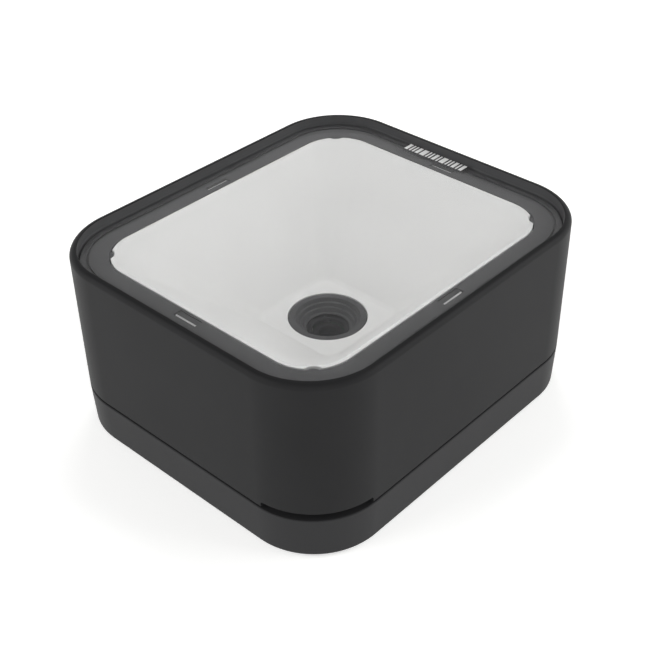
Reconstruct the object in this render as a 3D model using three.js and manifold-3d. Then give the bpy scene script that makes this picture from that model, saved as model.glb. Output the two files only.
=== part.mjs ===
// Flatbed barcode scanner: a counter-top box with a window on top, a white light funnel under it
// and a camera that looks up through the funnel. Millimetres, +Z up, -Y towards the shopper.
// The origin is on the counter, under the middle of the box.
import * as THREE from "three";
import { mergeVertices } from "three/addons/utils/BufferGeometryUtils.js";
import Module from "manifold-3d";

const wasm = await Module();
wasm.setup();

// Outer box
const width = 110;
const depth = 126.6;
const bodyHeight = 60.4; // underside of the base cover to the rim
const cornerRadius = 23.2;
const wall = 2.25; // also the radius of the rim, which is rounded over its whole width
const gap = 0.3; // clearance between pieces that touch

// Base cover
const baseHeight = 13.8;
const baseFloor = 2.4;
const baseTaper = 0.58; // how far the base cover narrows on each side towards the counter
const baseEdge = 1; // rounding of its bottom edge
const baseChamfer = 0.25; // chamfer of its top edge, which shows as a bright line at the seam
const seamGap = 0.7;
const lipRise = 2.4; // spigot lip that the housing drops over
const lipWall = 1.4;
const cornerSlotHeight = 1.9; // sound outlet in the housing's lower edge, above the seam gap
const cornerSlotStep = 1.6; // the outlet ends this far inside the corner's round

// Feet, screws and label under the base
const footProud = 0.8;
const footRadius = 5;
const footPocket = 1.2;
const footInset = 9.4; // from the base screw to the foot, along the diagonal
const bossRadius = 3.4;
const bossInset = 5.45; // from the inside of the corner to the middle of its screw boss
const bossLength = 12;
const screwRadius = 1.2;
const screwHeadRadius = 2.6;
const screwHeadHeight = 1.8;
const screwSeat = 5.2; // underside of the base cover to the shoulder that the screw head pulls on
const screwBite = 6; // length of thread in the housing's boss
const labelWidth = 52;
const labelDepth = 30;
const labelThickness = 0.25;
const labelRecess = 0.5;

// Window, seal and bezel
const windowRecess = 2.65;
const glassThickness = 1.5;
const glassFit = 0.2; // clearance round the glass
const sealWidth = 1.8;
const sealThickness = 0.6;
const bezelThickness = 1.8;
const bezelBorder = 8.3; // inside of the housing to the bezel's opening
const ledgeWidth = 1.9;
const ledgeThickness = 1.6;
const openingRadius = 13.7;
const earRadius = 3; // round ear in each corner of the bezel's opening
const earOffset = 1.75; // middle of the ear, outside the round of the opening
const earDrop = 0.5; // top of the bezel to the top of the ear

// Light funnel
const lipHeight = 1.6;
const lipThickness = 1.2;
const funnelFloorHalf = 15.5;
const funnelFloorRadius = 4;
const funnelFloorThickness = 1.5;
const funnelHoleRadius = 12.43;
const tabLength = 8;
const tabThickness = 0.6;
const tabOffset = 3.1; // edge of the funnel's lip to the middle of its snap tab
const tabDrop = 4.2;
const postSpread = 13.8; // camera posts, from the axis along X and along Y
const postRadius = 2.2;
const postShoulder = 3;

// Camera under the funnel
const cameraRoom = 7.2; // base floor to the camera board
const cameraBoardHalf = 17;
const cameraBoardThickness = 1.2;
const holderHalf = 6.5;
const holderHeight = 5.3;
const lensReach = 9.6; // camera board to the end of the lens barrel
const barrelRadius = 4.6;
const barrelBore = 3.7;
const barrelLength = 5;
const frontLensRim = 0.8;
const frontLensCrown = 0.5;
const frontLensDrop = 2.2; // end of the barrel to the lens's rim
const rearLensRim = 0.6;
const rearLensCrown = 0.4;
const rearLensLift = 0.8; // inner end of the barrel to the lens's rim
const sensorHalf = 3.8;
const sensorThickness = 1;
const filterThickness = 0.4;
const shroudDepth = 6.1;
const shroudSteps = 4;
const shroudMouth = 10.2;
const shroudThroat = 5.2;
const coverRadius = 6.6;
const coverThickness = 0.8;
const cameraScrewRadius = 0.7;
const cameraScrewHead = 1.8;
const cameraScrewHeadHeight = 1.2;
const cameraScrewLength = 6;

// Lighting board
const ledBoardHalf = 25;
const ledBoardThickness = 1.2;
const ledBoardDrop = 5.2; // funnel floor's underside to the board's top face
const ledCount = 8;
const ledCircle = 20.5;
const ledSize = 3.5;
const ledHeight = 1;

// Main board and what stands on it
const boardThickness = 1.6;
const boardMargin = 6.75; // inside of the housing to the board's edge
const boardLift = 0.8; // base cover's rim to the board's underside
const boardOpeningHalf = 21;
const boardOpeningRadius = 3;
const smallBoardRadius = 2; // corners of the camera board and the lighting board
const boardScrewRadius = 1;
const boardScrewHead = 2.1;
const boardScrewHeadHeight = 1.4;
const boardScrewLength = 6.5;
const boardPostRadius = 2.8;
const boardPostInset = 4; // board's edge to the middle of its screw
const boardPostSpread = 24; // screws, from the middle along Y
const boardPostLength = 9;
const jackWidth = 15.6;
const jackHeight = 12.8;
const jackLength = 17;
const jackMouthWidth = 11.8;
const jackMouthHeight = 7.6;
const jackMouthDepth = 12.5;
const jackFloor = 2.2;
const jackLatchWidth = 4;
const jackLatchHeight = 1.6;
const shieldThickness = 0.4;
const contactCount = 8;
const contactPitch = 1.02;
const contactThickness = 0.4;
const contactLength = 7;
const contactSlope = -0.22; // radians, down into the mouth
const contactRise = 1.2; // top of the mouth to the top of the bar that holds the contacts
const contactBarDepth = 1;
const contactSetback = 4; // back of the mouth to the middle of a contact
const contactDrop = 0.9; // top of the bar to the middle of a contact
const contactRoomShare = 1.2; // width of the room for the contacts, as a share of their own width
const contactRoomHeight = 1.8;
const contactRoomFront = 2;
const processorSize = [14, 14, 1.4];
const memorySize = [9, 12, 1.1];
const memoryY = -10;
const interfaceSize = [6, 8, 1.2];
const interfaceY = 12;
const inductorSize = [7, 7, 3];
const inductorY = 30;
const capacitorRadius = 3.1;
const capacitorHeight = 5.6;
const capacitorSeat = 0.8;
const capacitorPlaces = [30, 39]; // along Y
const sideStep = 2; // parts on the right stand this far inside the middle of the board's side
const beeperRadius = 6;
const beeperHeight = 5.5;
const beeperHole = 1;
const beeperInsetX = 16; // board's edge to the middle of the beeper
const beeperInsetY = 14;
const cableWidth = 10;
const cableThickness = 0.3;
const plugLength = 4.4; // flat-cable connector
const plugHeight = 1.6;
const plugShoulder = 1; // the connector is this much wider than its cable on each side
const plugWall = 0.7;
const cableEndInset = 2;

// Heights worked out from the sizes above
const baseBottom = footProud;
const baseFloorTop = baseBottom + baseFloor;
const baseRim = baseBottom + baseHeight;
const housingFoot = baseRim + seamGap;
const lipTop = baseRim + lipRise;
const rimTop = baseBottom + bodyHeight;
const glassTop = rimTop - windowRecess;
const glassUnder = glassTop - glassThickness;
const bezelTop = glassUnder - gap;
const bezelUnder = bezelTop - bezelThickness;
const ledgeTop = bezelUnder - gap;
const cameraBoardUnder = baseFloorTop + cameraRoom;
const cameraBoardTop = cameraBoardUnder + cameraBoardThickness;
const barrelTop = cameraBoardTop + lensReach;
const shroudUnder = barrelTop + gap;
const shroudTop = shroudUnder + shroudDepth;
const funnelFloorTop = shroudTop + gap / 2;
const funnelUnder = funnelFloorTop - funnelFloorThickness;
const ledBoardTop = funnelUnder - ledBoardDrop;
const boardUnder = baseRim + boardLift;
const boardTop = boardUnder + boardThickness;

// Places worked out from the sizes above
const halfWidth = width / 2;
const halfDepth = depth / 2;
const diagonal = Math.SQRT1_2;
const bossReach = (cornerRadius - wall - bossInset) * diagonal;
const bossX = halfWidth - cornerRadius + bossReach;
const bossY = halfDepth - cornerRadius + bossReach;
const footX = bossX - footInset * diagonal;
const footY = bossY - footInset * diagonal;
const openingX = halfWidth - wall - bezelBorder;
const openingY = halfDepth - wall - bezelBorder;
const lipX = openingX - gap;
const lipY = openingY - gap;
const earX = openingX - openingRadius + (openingRadius + earOffset) * diagonal;
const earY = openingY - openingRadius + (openingRadius + earOffset) * diagonal;
const boardX = halfWidth - wall - boardMargin;
const boardY = halfDepth - wall - boardMargin;
const boardPostX = boardX - boardPostInset;
const jackFront = halfDepth - wall - gap;
const jackBottom = boardTop + gap;

// Arc steps: three.js doubles the first number on a shape's arcs
const cornerSteps = 4;
const edgeSteps = 5;
const roundSegments = 24;
const smallSegments = 12;

// Materials
const finish = (color, roughness, metalness = 0, opacity = 1) =>
  new THREE.MeshStandardMaterial({ color, roughness, metalness, opacity, transparent: opacity < 1 });
const materials = {
  housing: finish(0x353536, 0.55),
  base: finish(0x434344, 0.6),
  bezel: finish(0x3a3a3b, 0.5),
  funnel: finish(0xeeeeec, 0.75),
  glass: finish(0xdfe6e6, 0.03, 0, 0.2),
  opticsBlack: finish(0x1c1c1d, 0.7),
  lens: finish(0x6c7f8e, 0.05, 0, 0.5),
  rubber: finish(0x202021, 0.85),
  label: finish(0xd6d6d2, 0.6),
  board: finish(0x1d5a3c, 0.45),
  chip: finish(0x222326, 0.5),
  steel: finish(0xb9bbbd, 0.35, 1),
  gold: finish(0xd9b25a, 0.3, 1),
  nylon: finish(0xe2dfd3, 0.5),
  cable: finish(0xdcdcd8, 0.4),
  led: finish(0xf3efd6, 0.35),
};

// A closed three.js geometry as a solid that can be joined and cut
function solid(geometry) {
  const bare = geometry.index ? geometry.toNonIndexed() : geometry.clone();
  bare.deleteAttribute("normal");
  bare.deleteAttribute("uv");
  const merged = mergeVertices(bare, 1e-4);
  return new wasm.Manifold(
    new wasm.Mesh({
      numProp: 3,
      vertProperties: merged.attributes.position.array,
      triVerts: new Uint32Array(merged.index.array),
    }),
  );
}

function piece(name, made, material, x = 0, y = 0, z = 0) {
  const { vertProperties, triVerts } = made.getMesh();
  const geometry = new THREE.BufferGeometry();
  geometry.setAttribute("position", new THREE.BufferAttribute(vertProperties, 3));
  geometry.setIndex(new THREE.BufferAttribute(triVerts, 1));
  geometry.computeVertexNormals();
  const mesh = new THREE.Mesh(geometry, material);
  mesh.name = name;
  mesh.position.set(x, y, z);
  return mesh;
}

function roundedRect(halfX, halfY, radius) {
  const x = halfX - radius;
  const y = halfY - radius;
  const quarter = Math.PI / 2;
  return new THREE.Shape()
    .absarc(x, y, radius, 0, quarter)
    .absarc(-x, y, radius, quarter, 2 * quarter)
    .absarc(-x, -y, radius, 2 * quarter, 3 * quarter)
    .absarc(x, -y, radius, 3 * quarter, 4 * quarter);
}

// The box's outline, moved inwards
const boxOutline = (inset) =>
  roundedRect(halfWidth - inset, halfDepth - inset, cornerRadius - inset);

// A solid through outlines of equal point count: levels is a list of [shape, z] from the bottom up
function loft(levels) {
  const rings = levels.map(([shape, z]) =>
    shape.getPoints(cornerSteps).map((p) => new THREE.Vector3(p.x, p.y, z)),
  );
  const count = rings[0].length;
  const last = rings.length - 1;
  const corners = [];
  for (let i = 0; i < count; i++) {
    const j = (i + 1) % count;
    for (let level = 0; level < last; level++) {
      const [low, high] = [rings[level], rings[level + 1]];
      corners.push(low[i], low[j], high[j], low[i], high[j], high[i]);
    }
    if (i > 0 && j > 0) {
      corners.push(rings[0][0], rings[0][j], rings[0][i]);
      corners.push(rings[last][0], rings[last][i], rings[last][j]);
    }
  }
  return solid(new THREE.BufferGeometry().setFromPoints(corners));
}

const prism = (shape, low, high) => loft([[shape, low], [shape, high]]);

function block(x0, x1, y0, y1, z0, z1) {
  const geometry = new THREE.BoxGeometry(x1 - x0, y1 - y0, z1 - z0);
  return solid(geometry.translate((x0 + x1) / 2, (y0 + y1) / 2, (z0 + z1) / 2));
}

function drum(radius, low, high, x = 0, y = 0, segments = roundSegments) {
  const geometry = new THREE.CylinderGeometry(radius, radius, high - low, segments);
  return solid(geometry.rotateX(Math.PI / 2).translate(x, y, (low + high) / 2));
}

// A turned piece: the profile is a list of [radius, z] that starts and ends on the axis, bottom first
function turned(profile, segments = roundSegments) {
  const points = profile.map(([radius, z]) => new THREE.Vector2(radius, z));
  return solid(new THREE.LatheGeometry(points, segments).rotateX(Math.PI / 2));
}

const join = (...solids) => solids.reduce((all, one) => all.add(one));
const cut = (body, ...tools) => tools.reduce((left, tool) => left.subtract(tool), body);

// The four corners of a rectangle, with the name that a person would give each
const corners = [
  ["front_left", -1, -1],
  ["front_right", 1, -1],
  ["rear_left", -1, 1],
  ["rear_right", 1, 1],
];
const atCorners = (x, y, make) => corners.map(([, sx, sy]) => make(sx * x, sy * y));

// The sound outlet runs round the front right corner, between the ends of its round
function soundOutlet(low, high) {
  const x = halfWidth - cornerRadius + cornerSlotStep;
  const y = halfDepth - cornerRadius + cornerSlotStep;
  return block(x, halfWidth + gap, -halfDepth - gap, -y, low, high);
}

function screw(radius, headRadius, headHeight, length) {
  const socket = drum(headRadius / 2, -headHeight, -headHeight / 2, 0, 0, 6);
  const head = drum(headRadius, -headHeight, 0, 0, 0, smallSegments);
  return cut(join(head, drum(radius, -headHeight / 2, length, 0, 0, smallSegments)), socket);
}

function baseCover() {
  const top = baseRim - baseChamfer;
  const levels = [];
  for (let step = 0; step <= edgeSteps; step++) {
    const angle = (Math.PI / 2) * (step / edgeSteps);
    const inset = baseTaper + baseEdge * (1 - Math.sin(angle));
    levels.push([boxOutline(inset), baseBottom + baseEdge * (1 - Math.cos(angle))]);
  }
  levels.push([boxOutline(0), top], [boxOutline(baseChamfer), baseRim]);
  const lipOuter = wall + gap;
  const lipInner = lipOuter + lipWall;
  const tray = loft([
    [boxOutline(baseTaper + wall), baseFloorTop],
    [boxOutline(lipOuter), top - lipRise],
    [boxOutline(lipInner), top],
    [boxOutline(lipInner), lipTop + gap],
  ]);
  const outside = join(loft(levels), prism(boxOutline(lipOuter), top, lipTop));
  const shell = cut(outside, tray, soundOutlet(baseRim, lipTop + gap));
  const seat = baseBottom + screwSeat;
  const bossTop = housingFoot - gap;
  const bosses = atCorners(bossX, bossY, (x, y) =>
    drum(bossRadius + gap, baseBottom + baseFloor / 2, bossTop, x, y),
  );
  const holes = atCorners(bossX, bossY, (x, y) =>
    drum(screwRadius + gap, baseBottom, bossTop + gap, x, y, smallSegments),
  );
  const sinks = atCorners(bossX, bossY, (x, y) =>
    drum(screwHeadRadius + gap, baseBottom - gap, seat, x, y, smallSegments),
  );
  const pockets = atCorners(footX, footY, (x, y) =>
    drum(footRadius + gap, baseBottom - gap, baseBottom + footPocket, x, y),
  );
  const label = block(
    -labelWidth / 2 - gap,
    labelWidth / 2 + gap,
    -labelDepth / 2 - gap,
    labelDepth / 2 + gap,
    baseBottom - gap,
    baseBottom + labelRecess,
  );
  return cut(join(shell, ...bosses), ...holes, ...sinks, ...pockets, label);
}

function upperHousing() {
  const levels = [[boxOutline(0), housingFoot]];
  for (let step = 0; step <= edgeSteps; step++) {
    const angle = (Math.PI / 2) * (step / edgeSteps);
    const inset = wall * (1 - Math.cos(angle));
    levels.push([boxOutline(inset), rimTop - wall * (1 - Math.sin(angle))]);
  }
  const hollow = prism(boxOutline(wall), housingFoot - gap, rimTop + gap);
  const ledge = cut(
    prism(boxOutline(wall / 2), ledgeTop - ledgeThickness, ledgeTop),
    prism(boxOutline(wall + ledgeWidth), ledgeTop - 2 * ledgeThickness, ledgeTop + gap),
  );
  const pilot = screwRadius + gap;
  const bosses = atCorners(bossX, bossY, (x, y) => {
    const post = drum(bossRadius, housingFoot, housingFoot + bossLength, x, y);
    const rib = new THREE.BoxGeometry(bossInset + wall / 2, wall, bossLength - lipRise);
    const along = Math.atan2(y, x) > 0 ? 1 : -1;
    const turn = (x > 0 ? Math.PI / 4 : (3 * Math.PI) / 4) * along;
    rib.translate((bossInset + wall / 2) / 2, 0, 0).rotateZ(turn);
    rib.translate(x, y, (lipTop + gap + housingFoot + bossLength) / 2);
    return join(post, solid(rib));
  });
  const bores = atCorners(bossX, bossY, (x, y) =>
    drum(pilot, housingFoot - gap, housingFoot + screwBite + gap, x, y, smallSegments),
  );
  const postFoot = boardTop + gap;
  const boardPosts = atCorners(boardPostX, boardPostSpread, (x, y) => {
    const reach = Math.sign(x) * (halfWidth - wall / 2);
    const [x0, x1] = [Math.min(x, reach), Math.max(x, reach)];
    const postHead = postFoot + boardPostLength;
    const rib = block(x0, x1, y - wall / 2, y + wall / 2, lipTop + gap, postHead);
    const post = drum(boardPostRadius, postFoot, postHead, x, y);
    return join(post, cut(rib, drum(boardPostRadius, lipTop, postFoot, x, y)));
  });
  const boreEnd = postFoot + boardScrewLength - boardThickness;
  const boardBores = atCorners(boardPostX, boardPostSpread, (x, y) =>
    drum(boardScrewRadius + gap, lipTop, boreEnd, x, y, smallSegments),
  );
  const boardRoom = prism(
    roundedRect(boardX + gap, boardY + gap, cornerRadius - wall - boardMargin),
    boardUnder,
    boardTop + gap,
  );
  const jackCut = block(
    -jackMouthWidth / 2 - wall / 2,
    jackMouthWidth / 2 + wall / 2,
    jackFront - gap,
    halfDepth + gap,
    jackBottom + jackFloor - wall / 2,
    jackBottom + jackFloor + jackMouthHeight + jackLatchHeight + wall / 2,
  );
  const posts = boardPosts.map((post) => cut(post, boardRoom));
  return cut(
    join(cut(loft(levels), hollow), ledge, ...bosses, ...posts),
    ...bores,
    ...boardBores,
    jackCut,
    soundOutlet(housingFoot - gap, housingFoot + cornerSlotHeight),
  );
}

const scanWindow = () => prism(boxOutline(wall + glassFit), glassUnder, glassTop);

function windowSeal() {
  const low = bezelTop - sealThickness + gap / 2;
  const outer = wall + glassFit + gap;
  return cut(
    prism(boxOutline(outer), low, low + sealThickness),
    prism(boxOutline(outer + sealWidth), low - gap, low + sealThickness + gap),
  );
}

function bezelFrame() {
  const rebate = sealWidth + glassFit + 2 * gap;
  const step = cut(
    prism(boxOutline(wall), bezelTop - sealThickness - gap / 2, bezelTop + gap),
    prism(boxOutline(wall + rebate), bezelUnder, bezelTop + 2 * gap),
  );
  const plate = cut(
    prism(boxOutline(wall + gap), bezelUnder, bezelTop),
    prism(roundedRect(openingX, openingY, openingRadius), bezelUnder - gap, bezelTop + gap),
    step,
  );
  const ears = atCorners(earX, earY, (x, y) => drum(earRadius, bezelUnder, bezelTop - earDrop, x, y));
  const slots = tabPlaces().map(({ x, y, alongX }) => {
    const [long, across] = [tabLength / 2 + gap, tabThickness / 2 + gap];
    const inward = across + wall / 2; // the slot is wider on the side of the opening
    const [sx, sy] = [Math.sign(x), Math.sign(y)];
    const [low, high] = [bezelUnder - gap, bezelTop + gap];
    const before = (sign) => (sign > 0 ? inward : across);
    return alongX
      ? block(x - long, x + long, y - before(sy), y + before(-sy), low, high)
      : block(x - before(sx), x + before(-sx), y - long, y + long, low, high);
  });
  return cut(join(plate, ...ears), ...slots);
}

// The funnel's four snap tabs stand in the middle of its sides
function tabPlaces() {
  return [
    { x: 0, y: -lipY - tabOffset, alongX: true },
    { x: 0, y: lipY + tabOffset, alongX: true },
    { x: -lipX - tabOffset, y: 0, alongX: false },
    { x: lipX + tabOffset, y: 0, alongX: false },
  ];
}

function lightFunnel() {
  const floorOuter = funnelFloorHalf + lipThickness;
  const outside = loft([
    [roundedRect(floorOuter, floorOuter, funnelFloorRadius + lipThickness), funnelUnder],
    [roundedRect(lipX, lipY, openingRadius), bezelTop - lipHeight],
    [roundedRect(lipX, lipY, openingRadius), bezelTop],
  ]);
  const [innerX, innerY] = [lipX - lipThickness, lipY - lipThickness];
  const innerRadius = openingRadius - lipThickness;
  const inside = loft([
    [roundedRect(funnelFloorHalf, funnelFloorHalf, funnelFloorRadius), funnelFloorTop],
    [roundedRect(innerX, innerY, innerRadius), bezelTop - gap],
    [roundedRect(innerX, innerY, innerRadius), bezelTop + gap],
  ]);
  const armTop = bezelTop - tabDrop;
  const armReach = 2 * tabOffset + tabDrop;
  const tabs = tabPlaces().map(({ x, y, alongX }) => {
    const [long, half] = [tabLength / 2, tabThickness / 2];
    const inward = alongX ? y - Math.sign(y) * armReach : x - Math.sign(x) * armReach;
    const outward = alongX ? y + Math.sign(y) * half : x + Math.sign(x) * half;
    const [near, far] = [Math.min(inward, outward), Math.max(inward, outward)];
    const [armUnder, tip] = [armTop - lipThickness, bezelTop - gap];
    const bladeX = [x - half, x + half];
    const bladeY = [y - half, y + half];
    return alongX
      ? join(
          block(-long, long, near, far, armUnder, armTop),
          block(-long, long, ...bladeY, armUnder, tip),
        )
      : join(
          block(near, far, -long, long, armUnder, armTop),
          block(...bladeX, -long, long, armUnder, tip),
        );
  });
  const postFoot = cameraBoardTop + gap;
  const posts = atCorners(postSpread, postSpread, (x, y) =>
    join(
      drum(postShoulder, ledBoardTop + gap, funnelFloorTop - gap, x, y, smallSegments),
      drum(postRadius, postFoot, funnelFloorTop - gap, x, y, smallSegments),
    ),
  );
  const pilotEnd = postFoot + cameraScrewLength;
  const pilots = atCorners(postSpread, postSpread, (x, y) =>
    drum(cameraScrewRadius + gap, postFoot - gap, pilotEnd, x, y, smallSegments),
  );
  const earRoom = atCorners(earX, earY, (x, y) =>
    drum(earRadius + gap, ledgeTop, bezelTop + gap, x, y),
  );
  const body = cut(join(outside, ...tabs), inside);
  const hole = drum(funnelHoleRadius, funnelUnder - gap, funnelFloorTop + gap);
  const stands = posts.map((post) => cut(post, inside));
  return cut(join(body, ...stands), hole, ...pilots, ...earRoom);
}

function lensShroud() {
  const collar = funnelHoleRadius - gap;
  const flange = funnelHoleRadius + 2 * lipThickness;
  const flangeTop = funnelUnder - gap;
  const flangeUnder = flangeTop - lipThickness;
  const body = collar - lipThickness / 2;
  const profile = [
    [0, shroudUnder],
    [body, shroudUnder],
    [body, flangeUnder],
    [flange, flangeUnder],
    [flange, flangeTop],
    [collar, flangeTop],
    [collar, shroudTop],
    [0, shroudTop],
  ];
  const narrowing = (shroudMouth - coverRadius - gap) / (shroudSteps - 1);
  const drop = (shroudDepth - lipThickness) / shroudSteps;
  const steps = [...Array(shroudSteps).keys()].map((step) =>
    drum(shroudMouth - step * narrowing, shroudTop - (step + 1) * drop, shroudTop + gap),
  );
  return cut(turned(profile), ...steps, drum(shroudThroat, shroudUnder - gap, shroudTop));
}

function lensBarrel() {
  const bottom = barrelTop - barrelLength;
  const body = join(
    drum(barrelRadius, bottom, barrelTop),
    drum(barrelRadius - gap, bottom - lipThickness, barrelTop),
  );
  const aperture = barrelBore - 2 * gap;
  return cut(
    body,
    drum(barrelBore, bottom, barrelTop - 2 * gap),
    drum(aperture, bottom - 2 * lipThickness, barrelTop + gap),
  );
}

function lensHolder() {
  const low = cameraBoardTop + gap;
  const body = block(-holderHalf, holderHalf, -holderHalf, holderHalf, low, low + holderHeight);
  const room = sensorHalf + 2 * gap;
  const stack = low + sensorThickness + filterThickness;
  return cut(
    body,
    block(-room, room, -room, room, low - gap, stack + 3 * gap),
    drum(barrelRadius + gap, stack + 5 * gap, low + holderHeight + gap),
    drum(barrelBore - gap, low, low + holderHeight),
  );
}

// A lens element: convex on both faces, standing on z = 0 at its rim
function lensElement(radius, rim, crown) {
  const arc = (sign) =>
    [...Array(edgeSteps).keys()].map((step) => {
      const share = step / edgeSteps;
      const z = crown * (1 - share * share);
      return [radius * share, sign > 0 ? rim + z : -z];
    });
  return turned([...arc(-1), [radius, 0], [radius, rim], ...arc(1).reverse()], smallSegments);
}

function squareBoard(half, thickness, low, holeRadius, spread, holes) {
  const plate = prism(roundedRect(half, half, smallBoardRadius), low, low + thickness);
  const fixings = atCorners(spread, spread, (x, y) =>
    drum(holeRadius, low - gap, low + thickness + gap, x, y, smallSegments),
  );
  return cut(plate, ...fixings, ...holes);
}

function mainBoard() {
  const round = cornerRadius - wall - boardMargin;
  const plate = prism(roundedRect(boardX, boardY, round), boardUnder, boardTop);
  const [low, high] = [boardUnder - gap, boardTop + gap];
  const half = boardOpeningHalf;
  return cut(
    plate,
    prism(roundedRect(half, half, boardOpeningRadius), low, high),
    ...atCorners(bossX, bossY, (x, y) => drum(bossRadius + 2 * gap, low, high, x, y)),
    ...atCorners(boardPostX, boardPostSpread, (x, y) =>
      drum(boardScrewRadius + gap, low, high, x, y, smallSegments),
    ),
  );
}

function jackBody() {
  const half = jackWidth / 2;
  const mouth = jackBottom + jackFloor;
  const back = jackFront - jackMouthDepth;
  const front = jackFront + gap;
  const mouthTop = mouth + jackMouthHeight;
  const [mouthHalf, latchHalf] = [jackMouthWidth / 2, jackLatchWidth / 2];
  const roomHalf = (contactCount * contactPitch * contactRoomShare) / 2;
  const top = jackBottom + jackHeight;
  const body = block(-half, half, jackFront - jackLength, jackFront, jackBottom, top);
  const hole = block(-mouthHalf, mouthHalf, back, front, mouth, mouthTop);
  const latch = block(-latchHalf, latchHalf, back, front, mouth - jackLatchHeight, mouth + gap);
  const contactRoom = block(
    -roomHalf,
    roomHalf,
    back - 2 * gap,
    jackFront - contactRoomFront,
    mouthTop - gap,
    mouthTop + contactRoomHeight,
  );
  return cut(body, hole, latch, contactRoom);
}

function jackShield() {
  const inner = jackWidth / 2 + gap;
  const outer = inner + shieldThickness;
  const top = jackBottom + jackHeight + gap;
  const back = jackFront - jackLength - gap;
  return cut(
    block(-outer, outer, back - shieldThickness, jackFront, jackBottom, top + shieldThickness),
    block(-inner, inner, back, jackFront + gap, jackBottom - gap, top),
  );
}

// Spring contacts of the jack: one bar with a finger for each wire, sloping into the mouth
function jackContacts() {
  const top = jackBottom + jackFloor + jackMouthHeight + contactRise;
  const back = jackFront - jackMouthDepth;
  const half = (contactCount * contactPitch) / 2;
  const bar = block(-half, half, back, back + contactBarDepth, top - contactThickness, top);
  const fingers = [...Array(contactCount).keys()].map((i) => {
    const x = (i - (contactCount - 1) / 2) * contactPitch;
    const finger = new THREE.BoxGeometry(contactThickness, contactLength, contactThickness);
    return solid(finger.rotateX(contactSlope).translate(x, back + contactSetback, top - contactDrop));
  });
  return join(bar, ...fingers);
}

// A flat cable in the XZ plane that leaves level, rises in an S and ends level, swept along Y.
// path holds the four X places: start, foot of the rise, head of the rise and end
function flatCable(path, fromZ, toZ) {
  const [start, foot, head, end] = path;
  const middle = (foot + head) / 2;
  const rise = new THREE.CubicBezierCurve(
    new THREE.Vector2(foot, fromZ),
    new THREE.Vector2(middle, fromZ),
    new THREE.Vector2(middle, toZ),
    new THREE.Vector2(head, toZ),
  );
  const side = (sign) => {
    const half = (sign * cableThickness) / 2;
    const bend = rise.getPoints(2 * edgeSteps).map((point, i) => {
      const tangent = rise.getTangent(i / (2 * edgeSteps));
      return new THREE.Vector2(point.x - tangent.y * half, point.y + tangent.x * half);
    });
    const level = Math.sign(end - start) * half;
    return [new THREE.Vector2(start, fromZ + level), ...bend, new THREE.Vector2(end, toZ + level)];
  };
  const shape = new THREE.Shape([...side(1), ...side(-1).reverse()]);
  const geometry = new THREE.ExtrudeGeometry(shape, { depth: cableWidth, bevelEnabled: false });
  return solid(geometry.rotateX(Math.PI / 2).translate(0, cableWidth / 2, 0));
}

// Flat-cable connector: a low block whose mouth takes the cable's end; facing +1 opens towards +X
function cablePlug(low, x, facing) {
  const half = cableWidth / 2 + plugShoulder;
  const body = block(x - plugLength / 2, x + plugLength / 2, -half, half, low, low + plugHeight);
  const mouth = x + (facing * plugLength) / 2;
  const outer = mouth + facing * gap;
  const inner = mouth - facing * (plugLength - plugShoulder);
  const [x0, x1] = [Math.min(outer, inner), Math.max(outer, inner)];
  const roomHalf = half - plugWall;
  const room = cableThickness / 2 + gap / 2;
  const middle = low + plugHeight / 2;
  return cut(body, block(x0, x1, -roomHalf, roomHalf, middle - room, middle + room));
}

function beeper() {
  const body = drum(beeperRadius, 0, beeperHeight);
  return cut(body, drum(beeperHole, beeperHeight / 2, beeperHeight + gap, 0, 0, smallSegments));
}

const chipBlock = (x, y, z) => block(-x / 2, x / 2, -y / 2, y / 2, 0, z);

function capacitor() {
  const body = drum(capacitorRadius, 0, capacitorHeight, 0, 0, smallSegments);
  return join(body, chipBlock(2 * capacitorRadius, 2 * capacitorRadius, capacitorSeat));
}

const scanner = new THREE.Group();
const base = new THREE.Group();
const housing = new THREE.Group();
scanner.add(base, housing);

// Base: stays on the counter
base.add(piece("base_cover", baseCover(), materials.base));
const foot = drum(footRadius, 0, footProud + footPocket - gap, 0, 0);
const screwLength = housingFoot + screwBite - baseBottom - screwSeat;
const baseScrew = screw(screwRadius, screwHeadRadius, screwHeadHeight, screwLength);
const screwZ = baseBottom + screwSeat - gap;
for (const [place, sx, sy] of corners) {
  const [x, y] = [sx * bossX, sy * bossY];
  base.add(piece("foot_" + place, foot, materials.rubber, sx * footX, sy * footY, 0));
  base.add(piece("base_screw_" + place, baseScrew, materials.steel, x, y, screwZ));
}
const label = chipBlock(labelWidth, labelDepth, labelThickness);
base.add(piece("rating_label", label, materials.label, 0, 0, baseBottom + gap / 3));

// Housing with the window and its frame
housing.add(
  piece("upper_housing", upperHousing(), materials.housing),
  piece("scan_window", scanWindow(), materials.glass),
  piece("window_seal", windowSeal(), materials.rubber),
  piece("bezel_frame", bezelFrame(), materials.bezel),
  piece("light_funnel", lightFunnel(), materials.funnel),
);

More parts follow.
